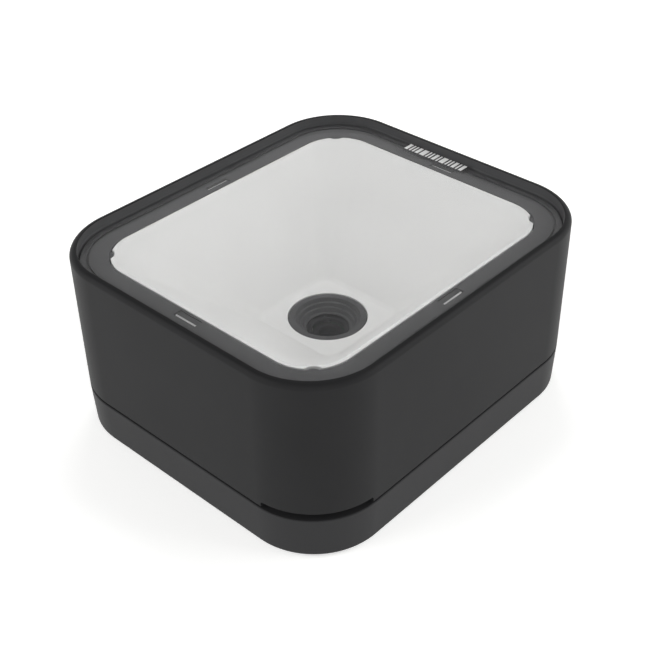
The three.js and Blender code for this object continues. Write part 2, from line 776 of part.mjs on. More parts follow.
// Camera
const sensorLow = cameraBoardTop + gap;
const filterLow = sensorLow + sensorThickness + gap;
const lensRadius = barrelBore - gap;
const coverGlass = drum(coverRadius, 0, coverThickness);
const coverLow = shroudUnder + lipThickness + gap;
const frontLens = lensElement(lensRadius, frontLensRim, frontLensCrown);
const rearLens = lensElement(lensRadius, rearLensRim, rearLensCrown);
const rearLensZ = barrelTop - barrelLength + rearLensLift;
const filter = chipBlock(2 * sensorHalf, 2 * sensorHalf, filterThickness);
const sensor = chipBlock(2 * sensorHalf, 2 * sensorHalf, sensorThickness);
const cameraBoard = squareBoard(
  cameraBoardHalf,
  cameraBoardThickness,
  cameraBoardUnder,
  cameraScrewRadius + gap,
  postSpread,
  [],
);
housing.add(
  piece("lens_shroud", lensShroud(), materials.opticsBlack),
  piece("camera_cover_glass", coverGlass, materials.glass, 0, 0, coverLow),
  piece("lens_barrel", lensBarrel(), materials.opticsBlack),
  piece("front_lens", frontLens, materials.lens, 0, 0, barrelTop - frontLensDrop),
  piece("rear_lens", rearLens, materials.lens, 0, 0, rearLensZ),
  piece("lens_holder", lensHolder(), materials.opticsBlack),
  piece("infrared_filter", filter, materials.lens, 0, 0, filterLow),
  piece("image_sensor", sensor, materials.chip, 0, 0, sensorLow),
  piece("camera_board", cameraBoard, materials.board),
);
const cameraScrew = screw(
  cameraScrewRadius,
  cameraScrewHead,
  cameraScrewHeadHeight,
  cameraBoardThickness + cameraScrewLength,
);
for (const [place, sx, sy] of corners) {
  const [x, y, z] = [sx * postSpread, sy * postSpread, cameraBoardUnder - gap];
  housing.add(piece("camera_screw_" + place, cameraScrew, materials.steel, x, y, z));
}

// Lighting
const ledBoardUnder = ledBoardTop - ledBoardThickness;
const ledBoard = squareBoard(
  ledBoardHalf,
  ledBoardThickness,
  ledBoardUnder,
  postRadius + gap,
  postSpread,
  [drum(funnelHoleRadius + gap, ledBoardUnder - gap, ledBoardTop + gap)],
);
housing.add(piece("led_board", ledBoard, materials.board));
const ledBody = join(
  chipBlock(ledSize, ledSize, ledHeight / 2),
  drum(ledSize / 2 - gap, ledHeight / 4, ledHeight, 0, 0, smallSegments),
);
for (let i = 0; i < ledCount; i++) {
  const angle = (2 * Math.PI * (i + 0.5)) / ledCount;
  const [x, y] = [ledCircle * Math.cos(angle), ledCircle * Math.sin(angle)];
  housing.add(piece("led_" + (i + 1), ledBody, materials.led, x, y, ledBoardTop + gap));
}

// Main board
const onBoard = boardTop + gap;
const chipsX = (boardX + boardOpeningHalf) / 2;
const chipsY = (boardY + boardOpeningHalf) / 2;
const rightX = chipsX - sideStep;
const boardParts = [
  ["processor_chip", chipBlock(...processorSize), materials.chip, 0, -chipsY],
  ["memory_chip", chipBlock(...memorySize), materials.chip, -chipsX, memoryY],
  ["interface_chip", chipBlock(...interfaceSize), materials.chip, rightX, interfaceY],
  ["power_inductor", chipBlock(...inductorSize), materials.chip, -chipsX, inductorY],
  ["smoothing_capacitor_1", capacitor(), materials.steel, rightX, capacitorPlaces[0]],
  ["smoothing_capacitor_2", capacitor(), materials.steel, rightX, capacitorPlaces[1]],
  ["beeper", beeper(), materials.opticsBlack, boardX - beeperInsetX, beeperInsetY - boardY],
];
housing.add(
  piece("main_board", mainBoard(), materials.board),
  ...boardParts.map((part) => piece(...part, onBoard)),
  piece("interface_jack", jackBody(), materials.chip),
  piece("jack_shield", jackShield(), materials.steel),
  piece("jack_contacts", jackContacts(), materials.gold),
);
const boardScrew = screw(
  boardScrewRadius,
  boardScrewHead,
  boardScrewHeadHeight,
  boardScrewLength,
);
for (const [place, sx, sy] of corners) {
  const [x, y, z] = [sx * boardPostX, sy * boardPostSpread, boardUnder - gap];
  housing.add(piece("board_screw_" + place, boardScrew, materials.steel, x, y, z));
}

// Flat cable from the camera board up to the main board
const cameraPlugX = -(cameraBoardHalf - plugLength / 2 - gap);
const mainPlugX = -(boardOpeningHalf + plugLength);
const cameraPlugZ = cameraBoardTop + gap;
const cableIn = plugLength / 2 - cableEndInset; // the cable ends this far past each plug's middle
const flexCable = flatCable(
  [cameraPlugX - cableIn, -cameraBoardHalf, gap - boardOpeningHalf, mainPlugX + cableIn],
  cameraPlugZ + plugHeight / 2,
  onBoard + plugHeight / 2,
);
housing.add(
  piece("camera_cable_connector", cablePlug(cameraPlugZ, cameraPlugX, -1), materials.nylon),
  piece("board_cable_connector", cablePlug(onBoard, mainPlugX, 1), materials.nylon),
  piece("camera_flat_cable", flexCable, materials.cable),
);

export default scanner;
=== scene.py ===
import math

import bmesh
import bpy
from mathutils import Matrix, Vector


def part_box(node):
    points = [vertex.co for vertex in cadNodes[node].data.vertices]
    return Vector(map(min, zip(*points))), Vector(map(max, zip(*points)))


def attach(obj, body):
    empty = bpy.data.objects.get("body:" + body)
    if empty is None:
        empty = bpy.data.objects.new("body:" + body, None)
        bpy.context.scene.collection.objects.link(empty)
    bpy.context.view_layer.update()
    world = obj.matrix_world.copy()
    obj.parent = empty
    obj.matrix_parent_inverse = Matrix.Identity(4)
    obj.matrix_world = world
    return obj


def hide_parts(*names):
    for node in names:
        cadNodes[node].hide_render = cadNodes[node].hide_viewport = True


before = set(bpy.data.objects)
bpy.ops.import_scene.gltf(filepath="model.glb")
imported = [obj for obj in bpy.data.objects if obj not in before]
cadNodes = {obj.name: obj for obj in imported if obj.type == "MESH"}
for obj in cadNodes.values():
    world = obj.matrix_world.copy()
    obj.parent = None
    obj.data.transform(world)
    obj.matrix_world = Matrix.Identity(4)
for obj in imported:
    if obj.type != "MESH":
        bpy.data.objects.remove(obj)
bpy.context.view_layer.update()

mm = 0.001
print("frame loaded:", len(cadNodes), "nodes")


# Sizes of the surface patterns in millimetres, and how far a finish's roughness strays
pattern = {
    "cloud": 22,
    "plasticStray": 0.06,
    "metalSmoother": 0.08,
    "metalRougher": 0.1,
    "waver": 35,
    "waverDepth": 0.02,
    "waverStrength": 0.05,
    "trackDepth": 0.035,
    "stripDepth": 0.03,
}


def linear(hexColour):
    # sRGB hex to the linear colour that shaders work in
    parts = [int(hexColour[i : i + 2], 16) / 255 for i in (1, 3, 5)]
    return [p / 12.92 if p <= 0.04045 else ((p + 0.055) / 1.055) ** 2.4 for p in parts] + [1.0]


def addNode(tree, kind, settings=None, inputs=None):
    # one shader node: settings are its own properties, inputs are values or sockets to link
    made = tree.nodes.new(kind)
    for key, value in (settings or {}).items():
        setattr(made, key, value)
    for key, value in (inputs or {}).items():
        if isinstance(value, bpy.types.NodeSocket):
            tree.links.new(value, made.inputs[key])
        else:
            made.inputs[key].default_value = value
    return made


def newMaterial(name, shader):
    # one Principled shader, and the object's own coordinates in millimetres for its patterns
    material = bpy.data.materials.new(name)
    material.use_nodes = True
    tree = material.node_tree
    surface = tree.nodes["Principled BSDF"]
    for key, value in shader.items():
        surface.inputs[key].default_value = value
    own = addNode(tree, "ShaderNodeTexCoord").outputs["Object"]
    scaled = addNode(tree, "ShaderNodeMapping", inputs={"Vector": own, "Scale": [1 / mm] * 3})
    return material, tree, surface, scaled.outputs["Vector"]


def between(tree, factor, low, high, start=0.35, stop=0.65):
    # a colour that goes from low to high as the factor goes from start to stop
    ramp = addNode(tree, "ShaderNodeValToRGB", inputs={"Fac": factor})
    for element, position, colour in zip(ramp.color_ramp.elements, (start, stop), (low, high)):
        element.position, element.color = position, linear(colour)
    return ramp.outputs["Color"]


def noise(tree, place, size, detail=2.0):
    # cloud or grain whose lumps are about this many millimetres across
    inputs = {"Vector": place, "Scale": 1 / size, "Detail": detail}
    return addNode(tree, "ShaderNodeTexNoise", inputs=inputs).outputs["Fac"]


def spread(tree, factor, low, high, socket):
    inputs = {"Value": factor, "To Min": low, "To Max": high}
    tree.links.new(addNode(tree, "ShaderNodeMapRange", inputs=inputs).outputs["Result"], socket)


def bumpFrom(tree, surface, height, depth, strength=1.0):
    inputs = {"Height": height, "Strength": strength, "Distance": depth * mm}
    bump = addNode(tree, "ShaderNodeBump", inputs=inputs)
    tree.links.new(bump.outputs["Normal"], surface.inputs["Normal"])


def moulded(name, low, high, roughness, grain, depth, extra=None):
    # plastic from a spark-eroded mould: a fine even grain that breaks up the sheen, and a faint
    # cloud in the colour
    shader = {"IOR": 1.5, "Roughness": roughness}
    shader.update(extra or {})
    material, tree, surface, place = newMaterial(name, shader)
    texture = noise(tree, place, grain, 3.0)
    cloud = noise(tree, place, pattern["cloud"])
    tree.links.new(between(tree, cloud, low, high), surface.inputs["Base Color"])
    stray = pattern["plasticStray"]
    spread(tree, texture, roughness - stray, roughness + stray, surface.inputs["Roughness"])
    bumpFrom(tree, surface, texture, depth)
    return material


def paintLightInside(material, colour):
    # the face inside the rim, marked on the mesh, gets a lighter colour than the outside: painted
    # light for the light that the glass and bezel bounce onto it
    tree = material.node_tree
    surface = tree.nodes["Principled BSDF"]
    marked = addNode(tree, "ShaderNodeAttribute", {"attribute_name": "inside_face"}).outputs["Fac"]
    # painted light: the marked inner faces take the lighter colour in place of the outside's
    outside = surface.inputs["Base Color"].links[0].from_socket
    inputs = {"Fac": marked, "Color1": outside, "Color2": linear(colour)}
    mix = addNode(tree, "ShaderNodeMixRGB", inputs=inputs)
    tree.links.new(mix.outputs["Color"], surface.inputs["Base Color"])


def metal(name, low, high, roughness, grain, depth):
    # plated or drawn metal: bright, with a grain that smears its reflections
    shader = {"Metallic": 1.0, "Roughness": roughness}
    material, tree, surface, place = newMaterial(name, shader)
    texture = noise(tree, place, grain, 4.0)
    tree.links.new(between(tree, texture, low, high), surface.inputs["Base Color"])
    smoothest, roughest = roughness - pattern["metalSmoother"], roughness + pattern["metalRougher"]
    spread(tree, texture, smoothest, roughest, surface.inputs["Roughness"])
    bumpFrom(tree, surface, texture, depth)
    return material


def polishedClear(name, colour, roughness, coat=0.0):
    # polished glass or acrylic: clear, with reflections that waver very slightly; lamps reach
    # through it to what lies behind
    shader = {"Base Color": linear(colour), "IOR": 1.5, "Roughness": roughness}
    shader.update({"Transmission Weight": 1.0, "Coat Weight": coat})
    material, tree, surface, place = newMaterial(name, shader)
    waver = noise(tree, place, pattern["waver"])
    bumpFrom(tree, surface, waver, pattern["waverDepth"], pattern["waverStrength"])
    shadowRay = addNode(tree, "ShaderNodeLightPath").outputs["Is Shadow Ray"]
    clear = addNode(tree, "ShaderNodeBsdfTransparent", inputs={"Color": linear("#f6f6f6")})
    inputs = {0: shadowRay, 1: surface.outputs[0], 2: clear.outputs[0]}
    mix = addNode(tree, "ShaderNodeMixShader", inputs=inputs)
    tree.links.new(mix.outputs[0], tree.nodes["Material Output"].inputs["Surface"])
    return material


def circuitBoard(name):
    # glass-fibre board under green solder mask: copper tracks show as paler lines, a little raised
    shader = {"IOR": 1.5, "Roughness": 0.35, "Coat Weight": 0.2}
    material, tree, surface, place = newMaterial(name, shader)
    inputs = {"Vector": place, "Scale": 1.0, "Mortar Size": 0.12}
    inputs.update({"Brick Width": 4.3, "Row Height": 1.27})
    tracks = addNode(tree, "ShaderNodeTexBrick", inputs=inputs).outputs["Fac"]
    colour = between(tree, tracks, "#17502f", "#2c7a4c", 0.3, 0.7)
    tree.links.new(colour, surface.inputs["Base Color"])
    bumpFrom(tree, surface, tracks, pattern["trackDepth"])
    return material


def ribbonFilm(name):
    # polyester film over tinned strips that shine through it; this wave scale sets them 1 mm apart
    material, tree, surface, place = newMaterial(name, {"IOR": 1.55, "Roughness": 0.3})
    inputs = {"Vector": place, "Scale": 0.314, "Distortion": 0.0}
    waves = addNode(tree, "ShaderNodeTexWave", {"bands_direction": "Y"}, inputs)
    strips = waves.outputs["Fac"]
    colour = between(tree, strips, "#e8e8e4", "#9fa1a2", 0.45, 0.55)
    tree.links.new(colour, surface.inputs["Base Color"])
    bumpFrom(tree, surface, strips, pattern["stripDepth"])
    return material


def sensorGrid(name):
    # silicon behind a colour filter: dark, with a sheen from its rows of light cells, drawn coarse
    # enough to show
    shader = {"IOR": 1.6, "Roughness": 0.18, "Coat Weight": 0.6}
    material, tree, surface, place = newMaterial(name, shader)
    rows = addNode(tree, "ShaderNodeTexChecker", inputs={"Vector": place, "Scale": 5.0})
    colour = between(tree, rows.outputs["Fac"], "#1f2a33", "#39343f", 0.4, 0.6)
    tree.links.new(colour, surface.inputs["Base Color"])
    return material


# Each row is a name, its two colours, its roughness, and its grain's size and depth
dullSheen = {"Specular IOR Level": 0.12}  # the texture traps part of the reflected light
softSheen = {"Sheen Weight": 0.2}
gelCoat = {"Coat Weight": 0.5}
mouldedRows = {
    "housingAbs": ("abs_charcoal_spark_textured", "#1f1f20", "#212122", 0.5, 0.25, 0.02, dullSheen),
    "baseAbs": ("abs_grey_spark_textured", "#2c2c2d", "#2e2e2f", 0.5, 0.25, 0.02, dullSheen),
    "bezelAbs": ("abs_dark_satin_moulded", "#4c4c4d", "#4e4e4f", 0.42, 0.3, 0.015, dullSheen),
    "whitePolycarbonate": ("polycarbonate_white_matte", "#d6d6d5", "#d8d8d7", 0.6, 0.25, 0.01),
    "blackOptics": ("polycarbonate_black_matte", "#505051", "#525253", 0.85, 0.2, 0.015, dullSheen),
    "rubber": ("silicone_rubber_moulded", "#1f1f20", "#242425", 0.75, 0.4, 0.04, softSheen),
    "sealFoam": ("polyurethane_foam_grey", "#454546", "#4b4b4c", 0.8, 0.5, 0.05, dullSheen),
    "labelFilm": ("polyester_label_satin", "#cfcfcb", "#d6d6d2", 0.38, 0.5, 0.004),
    "chipEpoxy": ("epoxy_chip_moulded", "#1c1d20", "#232427", 0.5, 0.12, 0.01),
    "nylon": ("nylon_natural_moulded", "#dedac9", "#e4e1d4", 0.45, 0.6, 0.01),
    "ledPackage": ("silicone_phosphor_cast", "#efe2a4", "#f6eec4", 0.25, 0.3, 0.01, gelCoat),
    "whiteInk": ("screen_ink_white", "#f1f1f0", "#f4f4f3", 0.5, 0.2, 0.003),
}
metalRows = {
    "zincSteel": ("steel_zinc_plated", "#aeb2b6", "#c6c9cc", 0.32, 0.8, 0.004),
    "canAluminium": ("aluminium_deep_drawn", "#bcbec0", "#cfd0d2", 0.28, 0.5, 0.003),
    "goldBrass": ("brass_gold_plated", "#d2a443", "#e2bd68", 0.22, 0.4, 0.002),
}
materials = {key: moulded(*row) for key, row in mouldedRows.items()}
materials.update({key: metal(*row) for key, row in metalRows.items()})
materials["windowGlass"] = polishedClear("float_glass_polished", "#fefefe", 0.0)
materials["smokedCover"] = polishedClear("acrylic_smoked_polished", "#a4a4a7", 0.0)
materials["coatedGlass"] = polishedClear("optical_glass_coated", "#c9d6e6", 0.02, 0.4)
materials["circuitBoard"] = circuitBoard("fr4_green_solder_mask")
materials["ribbonFilm"] = ribbonFilm("polyester_ribbon_laminated")
materials["sensorSilicon"] = sensorGrid("silicon_image_sensor")
# painted light: the rim's inner face gets this lighter colour for the light bounced onto it
paintLightInside(materials["housingAbs"], "#464647")
print("materials made:", len(materials))


weld = 0.0002  # points nearer than this are one
finishWeld = 0.0005
tiny = 1e-4
past = 1  # how far a cutting tool goes beyond the surface it cuts


def boxOf(node):
    # a CAD node's lowest and highest corners, in millimetres
    low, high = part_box(node)
    return low / mm, high / mm


def middleOf(node):
    low, high = boxOf(node)
    return (low + high) / 2


def roundEdges(bm, edges, radius, segments=4):
    shape = {"offset": radius, "segments": segments, "profile": 0.5, "material": -1}
    bmesh.ops.bevel(bm, geom=edges, affect="EDGES", clamp_overlap=True, **shape)


def roundedLoop(bm, halfX, halfY, radius, z, segments):
    # the outline of a rectangle with round corners, as a closed loop of edges
    verts = bmesh.ops.create_grid(bm, x_segments=1, y_segments=1, size=1)["verts"]
    bmesh.ops.scale(bm, vec=(halfX, halfY, 1), verts=verts)
    bmesh.ops.translate(bm, vec=(0, 0, z), verts=verts)
    shape = {"offset": radius, "segments": segments, "profile": 0.5, "material": -1}
    rounded = bmesh.ops.bevel(bm, geom=verts, affect="VERTICES", **shape)
    face = rounded["verts"][0].link_faces[0]
    edges = list(face.edges)
    bmesh.ops.delete(bm, geom=[face], context="FACES_ONLY")
    return edges


def loft(bm, rings, segments, closed=False):
    # rings are (half width, half depth, corner radius, z); a closed loft joins the last ring to
    # the first
    loops = [roundedLoop(bm, *ring, segments) for ring in rings]
    pairs = list(zip(loops, loops[1:]))
    if closed:
        pairs.append((loops[-1], loops[0]))
    else:
        bmesh.ops.edgeloop_fill(bm, edges=loops[0])
        bmesh.ops.edgeloop_fill(bm, edges=loops[-1])
    for one, other in pairs:
        bmesh.ops.bridge_loops(bm, edges=one + other)
    return loops


def newObject(name, bm):
    bmesh.ops.remove_doubles(bm, verts=bm.verts, dist=weld)
    bmesh.ops.recalc_face_normals(bm, faces=bm.faces)
    mesh = bpy.data.meshes.new(name)
    bm.to_mesh(mesh)
    bm.free()
    obj = bpy.data.objects.new(name, mesh)
    bpy.context.scene.collection.objects.link(obj)
    return obj


def applyModifiers(obj):
    seen = obj.evaluated_get(bpy.context.evaluated_depsgraph_get())
    mesh = bpy.data.meshes.new_from_object(seen)
    obj.modifiers.clear()
    obj.data = mesh


def combine(obj, tools, operation):
    # joins or cuts other objects into obj and deletes them
    for tool in tools:
        step = obj.modifiers.new(operation, "BOOLEAN")
        step.object, step.operation, step.solver = tool, operation, "EXACT"
    applyModifiers(obj)
    for tool in tools:
        bpy.data.objects.remove(tool)


def finish(obj, body, material, slot, *standsFor, angle=32):
    # smooth curves and crisp folds, then metres, a material and a body to ride on
    bm = bmesh.new()
    bm.from_mesh(obj.data)
    bmesh.ops.remove_doubles(bm, verts=bm.verts, dist=finishWeld)
    bmesh.ops.holes_fill(bm, edges=[e for e in bm.edges if e.is_boundary])
    for face in bm.faces:
        face.smooth = True
    for edge in bm.edges:
        gentle = len(edge.link_faces) == 2 and edge.calc_face_angle(0) < math.radians(angle)
        edge.smooth = gentle
    bmesh.ops.scale(bm, vec=(mm, mm, mm), verts=bm.verts)
    bm.to_mesh(obj.data)
    bm.free()
    normals = obj.modifiers.new("normals", "WEIGHTED_NORMAL")
    normals.keep_sharp = True
    applyModifiers(obj)
    obj.data.materials.clear()
    obj.data.materials.append(materials[material])
    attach(obj, body)
    if standsFor:
        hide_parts(*standsFor)


def boxTool(x, y, z, turn=0, at=(0, 0)):
    # a block between three pairs of limits, turned about its own origin and then moved
    bm = bmesh.new()
    verts = bmesh.ops.create_cube(bm, size=1)["verts"]
    low, high = Vector((min(x), min(y), min(z))), Vector((max(x), max(y), max(z)))
    bmesh.ops.scale(bm, vec=high - low, verts=verts)
    bmesh.ops.translate(bm, vec=(low + high) / 2, verts=verts)
    bmesh.ops.rotate(bm, cent=(0, 0, 0), matrix=Matrix.Rotation(turn, 3, "Z"), verts=verts)
    bmesh.ops.translate(bm, vec=(at[0], at[1], 0), verts=verts)
    return newObject("tool", bm)


def drumTool(radius, low, high, x=0, y=0, segments=48, edge=0):
    # a cylinder; edge rounds its top rim
    bm = bmesh.new()
    place = Matrix.Translation((x, y, (low + high) / 2))
    size = {"radius1": radius, "radius2": radius, "depth": high - low}
    bmesh.ops.create_cone(bm, cap_ends=True, segments=segments, matrix=place, **size)
    if edge:
        rim = [e for e in bm.edges if all(v.co.z > high - edge / 2 for v in e.verts)]
        roundEdges(bm, rim, edge, 3)
    return newObject("tool", bm)


def turned(name, profile, steps=64, at=(0, 0), edge=0):
    # spins an outline of (radius, z) round the axis; edge rounds every fold of it
    bm = bmesh.new()
    points = [bm.verts.new((radius, 0, z)) for radius, z in profile]
    closes = profile[0][0] > 0
    pairs = list(zip(points, points[1:])) + ([(points[-1], points[0])] if closes else [])
    lines = [bm.edges.new(pair) for pair in pairs]
    axis = {"cent": (0, 0, 0), "axis": (0, 0, 1), "angle": 2 * math.pi, "steps": steps}
    bmesh.ops.spin(bm, geom=points + lines, use_merge=True, **axis)
    bmesh.ops.remove_doubles(bm, verts=bm.verts, dist=weld)
    if edge:
        level = [e for e in bm.edges if abs(e.verts[0].co.z - e.verts[1].co.z) < tiny]
        inner = [e for e in level if len(e.link_faces) == 2]
        folds = [e for e in inner if e.calc_face_angle(0) > math.radians(40)]
        roundEdges(bm, folds, edge, 3)
    bmesh.ops.translate(bm, vec=(at[0], at[1], 0), verts=bm.verts)
    return newObject(name, bm)


signs = [(-1, -1), (1, -1), (-1, 1), (1, 1)]
places = ["front_left", "front_right", "rear_left", "rear_right"]
clearance = 0.3
houseLow, houseHigh = boxOf("upper_housing")
glassLow, glassHigh = boxOf("scan_window")
sealLow, sealHigh = boxOf("window_seal")
bezelLow, bezelHigh = boxOf("bezel_frame")
funnelHigh = boxOf("light_funnel")[1]
shroudLow, shroudHigh = boxOf("lens_shroud")
baseLow, baseHigh = boxOf("base_cover")
halfX, halfY = houseHigh.x, houseHigh.y
bossX, bossY = middleOf("base_screw_rear_right")[:2]
boardPostX, boardPostY = middleOf("board_screw_rear_right")[:2]
cameraPost = middleOf("camera_screw_rear_right").x
boardTop = boxOf("main_board")[1].z
print("frame measured")

# Housing: a straight rounded tube whose rim is rounded over nearly its whole wall
housing = {
    "cornerRadius": 23.2,
    "cornerSteps": 28,
    "wall": 2.25,
    "rimRadius": 1.9,
    "rimInner": 0.3,
    "footEdge": 0.45,
    "ledgeWidth": 1.9,
    "ledgeThickness": 1.6,
    "bossRadius": 3.4,
    "bossLength": 12,
    "bossHole": 1.5,
    "bossHoleDepth": 6.3,
    "postRadius": 2.8,
    "postLength": 9,
    "postHole": 1.3,
    "postHoleDepth": 5.5,
    "holeSteps": 24,
    "ribWidth": 2.2,
    "ribLength": 6.5,
    "outletStep": 1.6,
    "outletHeight": 1.9,
    "outletRound": 0.6,
    "mouthHalf": 7.0,
    "mouthLow": 1.1,
    "mouthHigh": 12.5,
}


def boxRing(inset, z):
    # the box's outline, moved inwards
    return (halfX - inset, halfY - inset, housing["cornerRadius"] - inset, z)


def outletTool(low, high):
    # the sound outlet runs round the front right corner, between the ends of its round
    step = housing["outletStep"] - housing["cornerRadius"]
    x, y = halfX + step, halfY + step
    bm = bmesh.new()
    verts = bmesh.ops.create_cube(bm, size=1)["verts"]
    size = (halfX + past - x, halfY + past - y, high - low)
    bmesh.ops.scale(bm, vec=size, verts=verts)
    middle = (x + size[0] / 2, -y - size[1] / 2, (low + high) / 2)
    bmesh.ops.translate(bm, vec=middle, verts=verts)

    def onPlane(edge, axis, value):
        return all(abs(v.co[axis] - value) < tiny for v in edge.verts)

    top = [e for e in bm.edges if onPlane(e, 2, high)]
    ends = [e for e in top if onPlane(e, 0, x) or onPlane(e, 1, -y)]
    roundEdges(bm, ends, housing["outletRound"], 4)
    return newObject("tool", bm)


def markInside(obj):
    # upright faces above the bezel that look towards the middle; these get the painted light
    marks = obj.data.attributes.new("inside_face", "FLOAT", "FACE")
    for face, mark in zip(obj.data.polygons, marks.data):
        normal, centre = face.normal, face.center
        inwards = normal.x * centre.x + normal.y * centre.y < 0
        mark.value = float(inwards and abs(normal.z) < 0.3 and centre.z > bezelLow.z * mm)


def housingPiece():
    h = housing
    wall = h["wall"]
    ledge = wall + h["ledgeWidth"]
    ledgeTop = bezelLow.z - clearance
    ledgeUnder = ledgeTop - h["ledgeThickness"]
    bm = bmesh.new()
    rings = [
        boxRing(0, houseLow.z),
        boxRing(0, houseHigh.z),
        boxRing(wall, houseHigh.z),
        boxRing(wall, ledgeTop),
        boxRing(ledge, ledgeTop),
        boxRing(ledge, ledgeUnder),
        boxRing(wall, ledgeUnder - h["ledgeWidth"]),
        boxRing(wall, houseLow.z),
    ]
    loops = loft(bm, rings, h["cornerSteps"], True)
    roundEdges(bm, loops[1], h["rimRadius"], 10)
    roundEdges(bm, loops[2], h["rimInner"], 3)
    roundEdges(bm, loops[0], h["footEdge"], 3)
    obj = newObject("housing_shell", bm)
    ribLow = baseHigh.z + clearance
    bossTop = houseLow.z + h["bossLength"]
    postLow = boardTop + clearance
    postTop = postLow + h["postLength"]
    rib = (-h["ribWidth"] / 2, h["ribWidth"] / 2)
    solids = []
    for sx, sy in signs:
        boss, post = (sx * bossX, sy * bossY), (sx * boardPostX, sy * boardPostY)
        reach = sx * (halfX - wall / 2 - boardPostX)
        along = (0, h["ribLength"])
        solids.append(drumTool(h["bossRadius"], houseLow.z, bossTop, *boss))
        solids.append(boxTool(along, rib, (ribLow, bossTop), math.atan2(sy, sx), boss))
        solids.append(drumTool(h["postRadius"], postLow, postTop, *post))
        solids.append(boxTool((0, reach), rib, (postLow, postTop), 0, post))
    combine(obj, solids, "UNION")
    jackLow = boxOf("interface_jack")[0].z
    mouthX = (-h["mouthHalf"], h["mouthHalf"])
    mouthY = (halfY - wall - past, halfY + past)
    mouthZ = (jackLow + h["mouthLow"], jackLow + h["mouthHigh"])
    tools = [
        outletTool(houseLow.z - past, houseLow.z + h["outletHeight"]),
        boxTool(mouthX, mouthY, mouthZ),
    ]
    bossHole = (h["bossHole"], houseLow.z - past, houseLow.z + h["bossHoleDepth"])
    postHole = (h["postHole"], boardTop - past, boardTop + h["postHoleDepth"])
    for sx, sy in signs:
        tools.append(drumTool(*bossHole, sx * bossX, sy * bossY, h["holeSteps"]))
        tools.append(drumTool(*postHole, sx * boardPostX, sy * boardPostY, h["holeSteps"]))
    combine(obj, tools, "DIFFERENCE")
    finish(obj, "housing", "housingAbs", "housing_plastic", "upper_housing")
    markInside(obj)


housingPiece()
print("housing made")

# Base cover: a tray with a chamfered rim and the lip that the housing drops over
base = {
    "taper": 0.58,
    "bottomRadius": 1.0,
    "rimChamfer": 0.25,
    "rimRound": 0.08,
    "lipWall": 1.4,
    "lipRise": 2.4,
    "lipRound": 0.3,
    "floor": 2.4,
    "bossRadius": 3.7,
    "bossStart": 1.2,
    "bossEdge": 0.2,
    "bossHole": 1.5,
    "holeSteps": 24,
    "sinkRadius": 2.9,
    "seatHeight": 2.1,
    "pocketRadius": 5.3,
    "pocketDepth": 1.2,
    "recessRadius": 1.5,
    "recessDepth": 0.5,
}


def basePiece():
    b = base
    rim = baseHigh.z - b["lipRise"]
    lipOuter = housing["wall"] + clearance
    lipInner = lipOuter + b["lipWall"]
    top = rim - b["rimChamfer"]
    bm = bmesh.new()
    rings = [
        boxRing(b["taper"], baseLow.z),
        boxRing(0, top),
        boxRing(b["rimChamfer"], rim),
        boxRing(lipOuter, rim),
        boxRing(lipOuter, baseHigh.z),
        boxRing(lipInner, baseHigh.z),
        boxRing(lipInner, top),
        boxRing(lipOuter, top - b["lipRise"]),
        boxRing(b["taper"] + housing["wall"], baseLow.z + b["floor"]),
    ]
    loops = loft(bm, rings, housing["cornerSteps"])
    roundEdges(bm, loops[0], b["bottomRadius"], 6)
    roundEdges(bm, loops[1] + loops[2], b["rimRound"], 2)
    roundEdges(bm, loops[4], b["lipRound"], 2)
    obj = newObject("base_shell", bm)
    bossTop = houseLow.z - clearance
    boss = (b["bossRadius"], baseLow.z + b["bossStart"], bossTop)
    bosses = [drumTool(*boss, sx * bossX, sy * bossY, edge=b["bossEdge"]) for sx, sy in signs]
    combine(obj, bosses, "UNION")
    foot, label = middleOf("foot_rear_right"), boxOf("rating_label")[1]
    seat = boxOf("base_screw_rear_right")[0].z + b["seatHeight"]
    room = (label.x + clearance, label.y + clearance, b["recessRadius"])
    recess = bmesh.new()
    loft(recess, [room + (baseLow.z - past,), room + (baseLow.z + b["recessDepth"],)], 6)
    # a hair above the rim, so that the cut leaves the rim's own face whole
    aboveRim = rim + 0.001
    tools = [outletTool(aboveRim, baseHigh.z + past), newObject("tool", recess)]
    hole = (b["bossHole"], baseLow.z, bossTop + past)
    sink = (b["sinkRadius"], baseLow.z - past, seat)
    pocket = (b["pocketRadius"], baseLow.z - past, baseLow.z + b["pocketDepth"])
    for sx, sy in signs:
        tools.append(drumTool(*hole, sx * bossX, sy * bossY, b["holeSteps"]))
        tools.append(drumTool(*sink, sx * bossX, sy * bossY))
        tools.append(drumTool(*pocket, sx * foot.x, sy * foot.y, 64))
    combine(obj, tools, "DIFFERENCE")
    finish(obj, "base", "baseAbs", "base_plastic", "base_cover")


basePiece()
print("base cover made")

# Feet, screws and label under the base
foot = {"radius": 5, "edge": 0.35, "dish": 0.15, "dishRadius": 3.4}
screw = {
    "head": 2.6,
    "headHeight": 1.8,
    "headChamfer": 0.5,
    "headRise": 0.6,
    "headEdge": 0.15,
    "core": 0.9,
    "crest": 1.2,
    "pitch": 1.06,
    "sunk": 0.5,
    "slot": 0.7,
    "reach": 1.9,
    "deep": 1.1,
}
labelRadius = 1.2


def feetPieces():
    low, high = boxOf("foot_rear_right")
    f = foot
    profile = [
        (0, low.z + f["dish"]),
        (f["dishRadius"], low.z + f["dish"]),
        (f["dishRadius"] + f["dish"], low.z),
        (f["radius"], low.z),
        (f["radius"], high.z),
        (0, high.z),
    ]
    for place in places:
        node = "foot_" + place
        obj = turned("rubber_" + node, profile, 72, middleOf(node)[:2], f["edge"])
        finish(obj, "base", "rubber", "black_rubber", node)


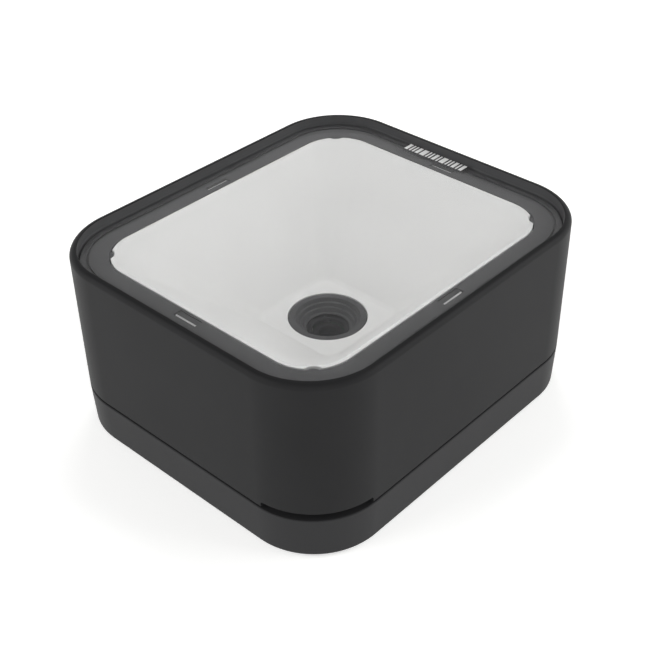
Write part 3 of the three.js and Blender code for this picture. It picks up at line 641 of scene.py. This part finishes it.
def threadedShank(bm, low, high, core, crest, pitch, steps=28):
    # the outline of one side of the thread, spun once while it climbs one pitch, so that it meets
    # itself
    turns = int((high - low) / pitch)
    heights = [low + pitch * half / 2 for half in range(2 * turns + 1)]
    points = [bm.verts.new((core if i % 2 == 0 else crest, 0, z)) for i, z in enumerate(heights)]
    lines = [bm.edges.new(pair) for pair in zip(points, points[1:])]
    climb = {"dvec": (0, 0, pitch / steps), "angle": 2 * math.pi, "steps": steps}
    bmesh.ops.spin(bm, geom=points + lines, cent=(0, 0, 0), axis=(0, 0, 1), **climb)
    bmesh.ops.remove_doubles(bm, verts=bm.verts, dist=0.001)
    bmesh.ops.holes_fill(bm, edges=[e for e in bm.edges if e.is_boundary])


def screwPieces():
    s = screw
    low, high = boxOf("base_screw_rear_right")
    neck = low.z + s["headHeight"]
    profile = [
        (0, low.z),
        (s["head"] - s["headChamfer"], low.z),
        (s["head"], low.z + s["headRise"]),
        (s["head"], neck),
        (0, neck),
    ]
    half = (-s["slot"] / 2, s["slot"] / 2)
    arm, depth = (-s["reach"], s["reach"]), (low.z - past, low.z + s["deep"])
    thread = (neck - s["sunk"], high.z - s["pitch"], s["core"], s["crest"], s["pitch"])
    for place in places:
        node = "base_screw_" + place
        x, y = middleOf(node)[:2]
        head = turned("steel_" + node, profile, 48, edge=s["headEdge"])
        bm = bmesh.new()
        threadedShank(bm, *thread)
        combine(head, [newObject("tool", bm)], "UNION")
        combine(head, [boxTool(arm, half, depth), boxTool(half, arm, depth)], "DIFFERENCE")
        head.data.transform(Matrix.Translation((x, y, 0)))
        finish(head, "base", "zincSteel", "plated_steel", node)


def labelPiece():
    low, high = boxOf("rating_label")
    bm = bmesh.new()
    loft(bm, [(high.x, high.y, labelRadius, z) for z in (low.z, high.z)], 6)
    finish(newObject("blank_label", bm), "base", "labelFilm", "label_film", "rating_label")


feetPieces()
screwPieces()
labelPiece()
print("feet, screws and label made")

# Window and its seal; the pane runs a little way into the housing's wall, which hides its edge
window = {"overlap": 0.04, "edge": 0.08, "sealWidth": 1.8, "sealEdge": 0.12}


def windowPieces():
    w = window
    inset = housing["wall"] - w["overlap"]
    bm = bmesh.new()
    rings = [boxRing(inset, glassLow.z), boxRing(inset, glassHigh.z)]
    loops = loft(bm, rings, housing["cornerSteps"])
    roundEdges(bm, loops[0] + loops[1], w["edge"], 2)
    pane = newObject("window_pane", bm)
    finish(pane, "housing", "windowGlass", "window_glass", "scan_window")
    outer = halfX - sealHigh.x
    inner = outer + w["sealWidth"]
    bm = bmesh.new()
    rings = [
        boxRing(outer, sealLow.z),
        boxRing(outer, sealHigh.z),
        boxRing(inner, sealHigh.z),
        boxRing(inner, sealLow.z),
    ]
    loops = loft(bm, rings, housing["cornerSteps"], True)
    roundEdges(bm, [edge for loop in loops for edge in loop], w["sealEdge"], 2)
    seal = newObject("seal_ring", bm)
    finish(seal, "housing", "sealFoam", "black_rubber", "window_seal")


windowPieces()

# Bezel frame: ears in the corners of its opening, and a shallow recess with a slot for each tab
bezel = {
    "border": 8.3,
    "openingRadius": 13.7,
    "rebate": 2.6,
    "rebateDepth": 0.75,
    "earRadius": 3.0,
    "earOffset": 1.75,
    "earDrop": 0.5,
    "edge": 0.2,
    "slotGap": 0.1,
    "recess": 0.35,
    "recessWidth": 2.1,
}
tab = {
    "length": 8.0,
    "thickness": 0.6,
    "offset": 3.1,
    "drop": 4.2,
    "ramp": 0.5,
    "arm": 10,
    "root": 1,
}
border = housing["wall"] + bezel["border"]
openX, openY = halfX - border, halfY - border
lipX, lipY = openX - clearance, openY - clearance
earReach = (bezel["openingRadius"] + bezel["earOffset"]) * math.sqrt(0.5)
earX = openX - bezel["openingRadius"] + earReach
earY = openY - bezel["openingRadius"] + earReach
sides = [(0, lipY), (math.pi / 2, lipX), (math.pi, lipY), (-math.pi / 2, lipX)]


def bezelPiece():
    b = bezel
    inset = housing["wall"] + clearance
    shelf = bezelHigh.z - b["rebateDepth"]
    opening = (openX, openY, b["openingRadius"])
    bm = bmesh.new()
    rings = [
        boxRing(inset, bezelLow.z),
        boxRing(inset, shelf),
        boxRing(inset + b["rebate"], shelf),
        boxRing(inset + b["rebate"], bezelHigh.z),
        opening + (bezelHigh.z,),
        opening + (bezelLow.z,),
    ]
    loops = loft(bm, rings, housing["cornerSteps"], True)
    roundEdges(bm, loops[3] + loops[4], b["edge"], 3)
    obj = newObject("bezel_plate", bm)
    ear = (b["earRadius"], bezelLow.z, bezelHigh.z - b["earDrop"])
    ears = [drumTool(*ear, sx * earX, sy * earY, 64, b["edge"]) for sx, sy in signs]
    combine(obj, ears, "UNION")
    half = tab["thickness"] / 2
    along = (-tab["length"] / 2 - clearance, tab["length"] / 2 + clearance)
    through = (bezelLow.z - past, bezelHigh.z + past)
    shallow = (bezelHigh.z - b["recess"], bezelHigh.z + past)
    tools = []
    for turn, reach in sides:
        centre = reach + tab["offset"]
        outer = centre + half + clearance
        slot = (outer, centre - half - b["slotGap"])
        tools.append(boxTool(along, slot, through, turn))
        tools.append(boxTool(along, (outer, centre - b["recessWidth"]), shallow, turn))
    combine(obj, tools, "DIFFERENCE")
    finish(obj, "housing", "bezelAbs", "bezel_plastic", "bezel_frame")


bezelPiece()
print("window, seal and bezel made")

# Light funnel: four flat walls with round corners, from the wide lip down to a square floor with
# a round hole
funnel = {
    "lip": 1.2,
    "lipHeight": 1.6,
    "lipRound": 0.15,
    "floorHalf": 15.5,
    "floorRadius": 4.0,
    "floorThickness": 1.5,
    "floorRound": 1.2,
    "holeRadius": 12.43,
    "postRadius": 2.2,
    "postSunk": 0.8,
    "postHole": 1.0,
    "postHoleDepth": 6.3,
    "shoulderRadius": 3.0,
    "shoulderSunk": 0.7,
    "cornerSteps": 24,
}
funnelFloor = shroudHigh.z + clearance / 2
funnelUnder = funnelFloor - funnel["floorThickness"]


def snapTab(turn, reach):
    # an arm from the funnel's wall, and a blade with a ramp on its outer side
    t = tab
    long, half = t["length"] / 2, t["thickness"] / 2
    centre = reach + t["offset"]
    inner, outer, ramp = centre - half, centre + half, t["ramp"]
    armTop = funnelHigh.z - t["drop"]
    root = armTop - t["root"]
    tip = bezelHigh.z - bezel["recess"]
    armZ = (armTop - funnel["lip"], armTop)
    arm = boxTool((-long, long), (centre - t["arm"], outer), armZ, turn)
    outline = [(inner, root), (outer, root), (outer, tip - ramp), (outer - ramp, tip), (inner, tip)]
    bm = bmesh.new()
    face = bm.faces.new([bm.verts.new((-long, y, z)) for y, z in outline])
    side = bmesh.ops.extrude_face_region(bm, geom=[face])["geom"]
    moved = [v for v in side if isinstance(v, bmesh.types.BMVert)]
    bmesh.ops.translate(bm, vec=(2 * long, 0, 0), verts=moved)
    turning = Matrix.Rotation(turn, 3, "Z")
    bmesh.ops.rotate(bm, cent=(0, 0, 0), matrix=turning, verts=bm.verts)
    return [arm, newObject("tool", bm)]


def trimmedTabs(floorRing, lipRing):
    # the four tabs, with their arms cut off where they would stand inside the funnel
    bm = bmesh.new()
    loft(bm, [floorRing, lipRing], funnel["cornerSteps"])
    inside = newObject("inside", bm)
    solids = [solid for turn, reach in sides for solid in snapTab(turn, reach)]
    for arm in solids[::2]:
        step = arm.modifiers.new("cut", "BOOLEAN")
        step.object, step.operation, step.solver = inside, "DIFFERENCE", "EXACT"
        applyModifiers(arm)
    bpy.data.objects.remove(inside)
    return solids


def funnelPiece():
    f = funnel
    floorOuter = f["floorHalf"] + f["lip"]
    innerRadius = bezel["openingRadius"] - f["lip"]
    floorRing = (f["floorHalf"], f["floorHalf"], f["floorRadius"], funnelFloor)
    lipRing = (lipX - f["lip"], lipY - f["lip"], innerRadius, funnelHigh.z)
    outerLip = (lipX, lipY, bezel["openingRadius"])
    bm = bmesh.new()
    rings = [
        floorRing,
        lipRing,
        outerLip + (funnelHigh.z,),
        outerLip + (funnelHigh.z - f["lipHeight"],),
        (floorOuter, floorOuter, f["floorRadius"] + f["lip"], funnelUnder),
    ]
    loops = loft(bm, rings, f["cornerSteps"])
    roundEdges(bm, loops[0], f["floorRound"], 6)
    roundEdges(bm, loops[1], f["lipRound"], 4)
    roundEdges(bm, loops[2], f["lipRound"], 2)
    obj = newObject("funnel_shell", bm)
    solids = trimmedTabs(floorRing, lipRing)
    shoulderLow = boxOf("led_board")[1].z + clearance
    shoulder = (f["shoulderRadius"], shoulderLow, funnelFloor - f["shoulderSunk"])
    cameraBoardTop = boxOf("camera_board")[1].z
    post = (f["postRadius"], cameraBoardTop + clearance, funnelFloor - f["postSunk"])
    for sx, sy in signs:
        x, y = sx * cameraPost, sy * cameraPost
        solids.append(drumTool(*shoulder, x, y, 32))
        solids.append(drumTool(*post, x, y, 32))
    combine(obj, solids, "UNION")
    postHole = (f["postHole"], cameraBoardTop, cameraBoardTop + f["postHoleDepth"])
    earRoom = (bezel["earRadius"] + clearance, bezelLow.z - clearance, funnelHigh.z + past)
    hole = drumTool(f["holeRadius"], funnelUnder - past, funnelFloor + past, segments=128)
    tools = [hole]
    for sx, sy in signs:
        tools.append(drumTool(*postHole, sx * cameraPost, sy * cameraPost, 20))
        tools.append(drumTool(*earRoom, sx * earX, sy * earY, 64))
    combine(obj, tools, "DIFFERENCE")
    slot = "white_plastic"
    finish(obj, "housing", "whitePolycarbonate", slot, "light_funnel", angle=30)


funnelPiece()
print("light funnel made")

# Lens shroud: a collar flush with the funnel's floor, with steps that narrow to the camera's cover
shroud = {
    "collar": 12.13,
    "body": 11.53,
    "flange": 14.83,
    "flangeThickness": 1.2,
    "steps": 4,
    "mouth": 10.2,
    "seat": 6.9,
    "throat": 5.2,
    "draft": 0.45,
    "edge": 0.12,
    "coverEdge": 0.15,
    "rounds": 96,
}


def shroudPieces():
    s = shroud
    flangeTop = funnelUnder - clearance
    flangeUnder = flangeTop - s["flangeThickness"]
    drop = (shroudHigh.z - shroudLow.z - s["flangeThickness"]) / s["steps"]
    narrowing = (s["mouth"] - s["seat"]) / (s["steps"] - 1)
    profile = [
        (s["throat"], shroudLow.z),
        (s["body"], shroudLow.z),
        (s["body"], flangeUnder),
        (s["flange"], flangeUnder),
        (s["flange"], flangeTop),
        (s["collar"], flangeTop),
        (s["collar"], shroudHigh.z),
    ]
    for step in range(s["steps"]):
        radius = s["mouth"] - step * narrowing
        profile.append((radius, shroudHigh.z - step * drop))
        profile.append((radius - s["draft"], shroudHigh.z - (step + 1) * drop))
    profile.append((s["throat"], shroudHigh.z - s["steps"] * drop))
    obj = turned("shroud_rings", profile, s["rounds"], edge=s["edge"])
    finish(obj, "housing", "blackOptics", "black_plastic", "lens_shroud")
    low, high = boxOf("camera_cover_glass")
    outline = [(0, low.z), (high.x, low.z), (high.x, high.z), (0, high.z)]
    obj = turned("cover_disc", outline, s["rounds"], edge=s["coverEdge"])
    finish(obj, "housing", "smokedCover", "window_glass", "camera_cover_glass")


shroudPieces()
print("lens shroud and cover made")

# A plain printed mark of bars on the rear edge of the window
mark = {"left": -17, "front": 56.6, "depth": 3.6, "ink": 0.02, "unit": 0.62}
barWidths = [2, 1, 1, 2, 3, 1, 1, 2, 1, 3, 1, 1, 2, 1, 2]


def printedMark():
    m = mark
    bm = bmesh.new()
    x = m["left"]
    for count in barWidths:
        width = count * m["unit"]
        verts = bmesh.ops.create_cube(bm, size=1)["verts"]
        bmesh.ops.scale(bm, vec=(width, m["depth"], m["ink"]), verts=verts)
        place = (x + width / 2, m["front"] + m["depth"] / 2, glassHigh.z + m["ink"] / 2)
        bmesh.ops.translate(bm, vec=place, verts=verts)
        x += width + m["unit"]
    finish(newObject("window_mark", bm), "housing", "whiteInk", "label_film")


printedMark()
print("printed mark made")

# CAD nodes that stay get their real materials
keptMaterials = {
    "lens_barrel": "blackOptics",
    "lens_holder": "blackOptics",
    "beeper": "blackOptics",
    "interface_jack": "blackOptics",
    "front_lens": "coatedGlass",
    "rear_lens": "coatedGlass",
    "infrared_filter": "coatedGlass",
    "image_sensor": "sensorSilicon",
    "power_inductor": "chipEpoxy",
    "jack_shield": "zincSteel",
    "jack_contacts": "goldBrass",
    "camera_flat_cable": "ribbonFilm",
}
keptKinds = [
    ("_board", "circuitBoard"),
    ("_chip", "chipEpoxy"),
    ("_screw_", "zincSteel"),
    ("capacitor", "canAluminium"),
    ("_connector", "nylon"),
    ("led_", "ledPackage"),
]


def dressKeptNodes():
    for name, obj in cadNodes.items():
        byPart = (material for part, material in keptKinds if part in name)
        kind = keptMaterials.get(name) or next(byPart, None)
        if kind:
            obj.data.materials.clear()
            obj.data.materials.append(materials[kind])


dressKeptNodes()
print("kept nodes dressed")

# Floor, light and camera
stage = {
    "floorSize": 6.0,
    "floorColour": "#f2f2f0",
    "floorGlow": 0.5,
    "skyStrength": 1.6,
    "sky": [(0.0, 0.4), (0.2, 1.0), (0.45, 0.19), (0.75, 0.02), (1.0, 0.15)],
    "lampAim": (0, 0, 0.03),
}
lamps = {
    "back_light": {"size": 0.9, "power": 8.0, "place": (0.9, 0.8, 0.7)},
    "right_light": {"size": 0.8, "power": 3.5, "place": (0.9, -0.9, 0.8)},
    "left_light": {"size": 0.8, "power": 7.0, "place": (-0.6, -1.1, 0.8)},
    "rim_light": {"size": 0.2, "power": 1.5, "place": (-0.3, 0.34, 1.05)},
}


def makeFloor():
    # a wide white acrylic table that glows faintly
    s = stage
    bm = bmesh.new()
    bmesh.ops.create_grid(bm, x_segments=1, y_segments=1, size=s["floorSize"] / 2)
    floor = newObject("floor", bm)
    shader = {"Base Color": linear(s["floorColour"]), "Roughness": 0.9}
    shader.update({"Emission Color": linear("#ffffff"), "Emission Strength": s["floorGlow"]})
    floor.data.materials.append(newMaterial("acrylic_table", shader)[0])


def makeSky():
    # grey light, brightest a little above the horizon and dark overhead
    s = stage
    world = bpy.data.worlds.new("studio")
    bpy.context.scene.world = world
    world.use_nodes = True
    tree = world.node_tree
    direction = addNode(tree, "ShaderNodeTexCoord").outputs["Generated"]
    height = addNode(tree, "ShaderNodeSeparateXYZ", inputs={"Vector": direction}).outputs["Z"]
    ramp = addNode(tree, "ShaderNodeValToRGB", inputs={"Fac": height})
    stops = ramp.color_ramp.elements
    for position, _ in s["sky"][1:-1]:
        stops.new(position)
    for stop, (position, light) in zip(stops, s["sky"]):
        stop.position, stop.color = position, [light] * 3 + [1]
    background = tree.nodes["Background"]
    background.inputs["Strength"].default_value = s["skyStrength"]
    tree.links.new(ramp.outputs["Color"], background.inputs["Color"])


def makeLamps():
    for name, lamp in lamps.items():
        data = bpy.data.lights.new(name, "AREA")
        data.shape, data.size, data.energy = "SQUARE", lamp["size"], lamp["power"]
        obj = bpy.data.objects.new(name, data)
        aim = Vector(stage["lampAim"]) - Vector(lamp["place"])
        obj.location = lamp["place"]
        obj.rotation_euler = aim.to_track_quat("-Z", "Y").to_euler()
        bpy.context.scene.collection.objects.link(obj)


makeFloor()
makeSky()
makeLamps()

view = {
    "azimuth": 41.37,
    "elevation": 36.07,
    "roll": 0.04,
    "distance": 384.08,
    "right": 9.71,
    "up": 21.27,
    "lens": 65.63,
    "sensor": 36,
    "shiftX": -0.0523,
    "shiftY": -0.0082,
    "nearest": 0.01,
    "farthest": 50,
}


def makeCamera():
    v = view
    a, e, r = (math.radians(v[key]) for key in ("azimuth", "elevation", "roll"))
    back = Vector((math.sin(a) * math.cos(e), -math.cos(a) * math.cos(e), math.sin(e)))
    level = Vector((math.cos(a), math.sin(a), 0))
    rise = back.cross(level)
    right = level * math.cos(r) + rise * math.sin(r)
    up = rise * math.cos(r) - level * math.sin(r)
    place = back * v["distance"] + right * v["right"] + up * v["up"] + Vector((0, 0, baseLow.z))
    turn = Matrix((right, up, back)).transposed().to_4x4()
    data = bpy.data.cameras.new("camera")
    data.lens, data.sensor_width = v["lens"], v["sensor"]
    data.shift_x, data.shift_y = v["shiftX"], v["shiftY"]
    data.clip_start, data.clip_end = v["nearest"], v["farthest"]
    camera = bpy.data.objects.new("camera", data)
    camera.matrix_world = Matrix.Translation(place * mm) @ turn
    bpy.context.scene.collection.objects.link(camera)
    bpy.context.scene.camera = camera


makeCamera()
bpy.context.scene.view_settings.view_transform = "Standard"
print("stage and camera made")
